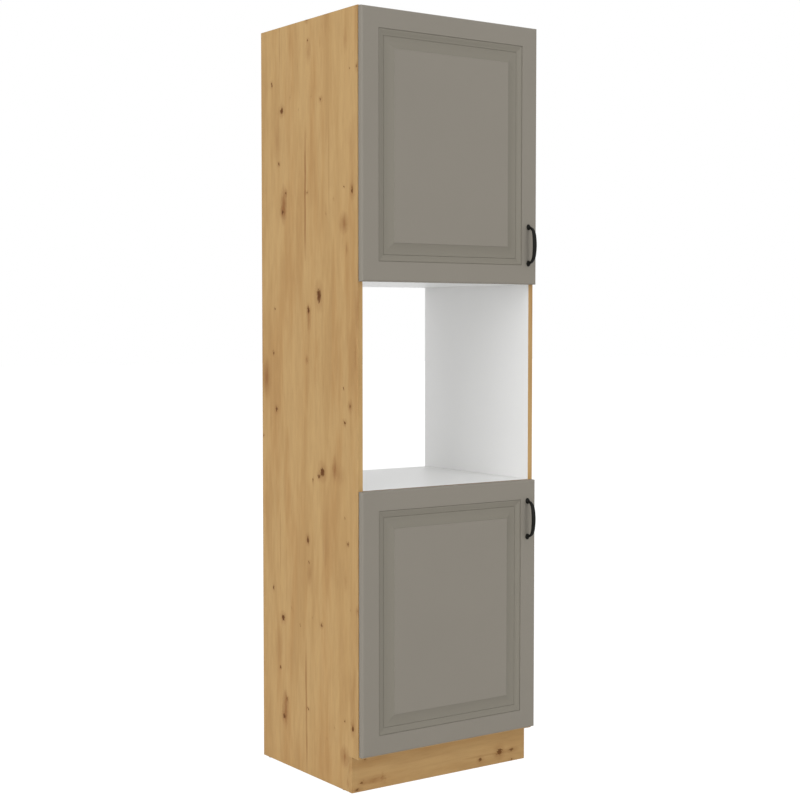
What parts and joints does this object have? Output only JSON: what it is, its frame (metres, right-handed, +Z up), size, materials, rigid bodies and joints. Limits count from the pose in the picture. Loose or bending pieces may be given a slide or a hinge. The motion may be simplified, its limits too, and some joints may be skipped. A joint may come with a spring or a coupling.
{
  "type": "tall oven housing unit",
  "caption": "Tall kitchen cabinet with an open oven niche between a lower and an upper cupboard, each behind a raised-panel door on concealed hinges with a bow handle.",
  "frame": {"origin": "on the floor, at the middle of the overall width and depth, handles included", "axes": "+Z up, +Y from the doors to the wall, +X to the right as seen from the front"},
  "size_m": [0.6, 0.551, 2.1],
  "materials": {
    "oak_board": "matt knotty oak foil on board",
    "white_board": "satin white melamine board",
    "clay_front": "matt clay grey foil on routed fibreboard",
    "black_handle": "satin black",
    "nickel_plate": "satin nickel plate",
    "zinc_plate": "bright zinc plate",
    "clear_rubber": "translucent silicone",
    "glide_plastic": "matt brown"
  },
  "bodies": {
    "carcass": {"left_side_panel": "oak_board", "right_side_panel": "oak_board", "plinth_board": "oak_board", "top_panel": "white_board", "niche_top_panel": "white_board", "oven_shelf": "white_board", "bottom_panel": "white_board", "lower_back_panel": "white_board", "upper_back_panel": "white_board", "lower_shelf": "white_board", "upper_shelf": "white_board", "lower_shelf_pin_front_left": "nickel_plate", "lower_shelf_pin_rear_left": "nickel_plate", "lower_shelf_pin_front_right": "nickel_plate", "lower_shelf_pin_rear_right": "nickel_plate", "upper_shelf_pin_front_left": "nickel_plate", "upper_shelf_pin_rear_left": "nickel_plate", "upper_shelf_pin_front_right": "nickel_plate", "upper_shelf_pin_rear_right": "nickel_plate", "glide_front_left": "glide_plastic", "glide_rear_left": "glide_plastic", "glide_front_right": "glide_plastic", "glide_rear_right": "glide_plastic", "lower_hinge_bottom_mounting_plate": "nickel_plate", "lower_hinge_bottom_arm": "nickel_plate", "lower_hinge_top_mounting_plate": "nickel_plate", "lower_hinge_top_arm": "nickel_plate", "upper_hinge_bottom_mounting_plate": "nickel_plate", "upper_hinge_bottom_arm": "nickel_plate", "upper_hinge_top_mounting_plate": "nickel_plate", "upper_hinge_top_arm": "nickel_plate"},
    "lower_outer_links": {"lower_hinge_bottom_outer_link": "zinc_plate", "lower_hinge_top_outer_link": "zinc_plate"},
    "lower_inner_links": {"lower_hinge_bottom_inner_link": "zinc_plate", "lower_hinge_top_inner_link": "zinc_plate"},
    "lower_door": {"lower_door": "clay_front", "lower_handle": "black_handle", "lower_handle_screw_bottom": "zinc_plate", "lower_door_bumper_bottom": "clear_rubber", "lower_hinge_bottom_cup": "nickel_plate", "lower_handle_screw_top": "zinc_plate", "lower_door_bumper_top": "clear_rubber", "lower_hinge_top_cup": "nickel_plate"},
    "upper_outer_links": {"upper_hinge_bottom_outer_link": "zinc_plate", "upper_hinge_top_outer_link": "zinc_plate"},
    "upper_inner_links": {"upper_hinge_bottom_inner_link": "zinc_plate", "upper_hinge_top_inner_link": "zinc_plate"},
    "upper_door": {"upper_door": "clay_front", "upper_handle": "black_handle", "upper_handle_screw_bottom": "zinc_plate", "upper_door_bumper_bottom": "clear_rubber", "upper_hinge_bottom_cup": "nickel_plate", "upper_handle_screw_top": "zinc_plate", "upper_door_bumper_top": "clear_rubber", "upper_hinge_top_cup": "nickel_plate"}
  },
  "joints": [
    {"name": "lower_link_swing", "type": "hinge", "parent": "carcass", "child": "lower_outer_links", "pos_m": [-0.269, -0.2105, 0.46365], "axis": [0, 0, 1], "range_deg": [0, 35]},
    {"name": "lower_door_swing", "type": "hinge", "parent": "lower_outer_links", "child": "lower_door", "pos_m": [-0.2885, -0.23, 0.46365], "axis": [0, 0, -1], "range_deg": [0, 140]},
    {"name": "lower_inner_link_swing", "type": "hinge", "parent": "carcass", "child": "lower_inner_links", "pos_m": [-0.258, -0.2215, 0.46365], "axis": [0, 0, 1], "range_deg": [0, 23.2]},
    {"name": "upper_link_swing", "type": "hinge", "parent": "carcass", "child": "upper_outer_links", "pos_m": [-0.269, -0.2105, 1.7376], "axis": [0, 0, 1], "range_deg": [0, 35]},
    {"name": "upper_door_swing", "type": "hinge", "parent": "upper_outer_links", "child": "upper_door", "pos_m": [-0.2885, -0.23, 1.7376], "axis": [0, 0, -1], "range_deg": [0, 140]},
    {"name": "upper_inner_link_swing", "type": "hinge", "parent": "carcass", "child": "upper_inner_links", "pos_m": [-0.258, -0.2215, 1.7376], "axis": [0, 0, 1], "range_deg": [0, 23.2]}
  ],
  "couplings": [
    {"joint": "lower_link_swing", "follows": "lower_door_swing", "ratio": 0.25},
    {"joint": "lower_inner_link_swing", "follows": "lower_door_swing", "ratio": 0.165},
    {"joint": "upper_link_swing", "follows": "upper_door_swing", "ratio": 0.25},
    {"joint": "upper_inner_link_swing", "follows": "upper_door_swing", "ratio": 0.165}
  ]
}
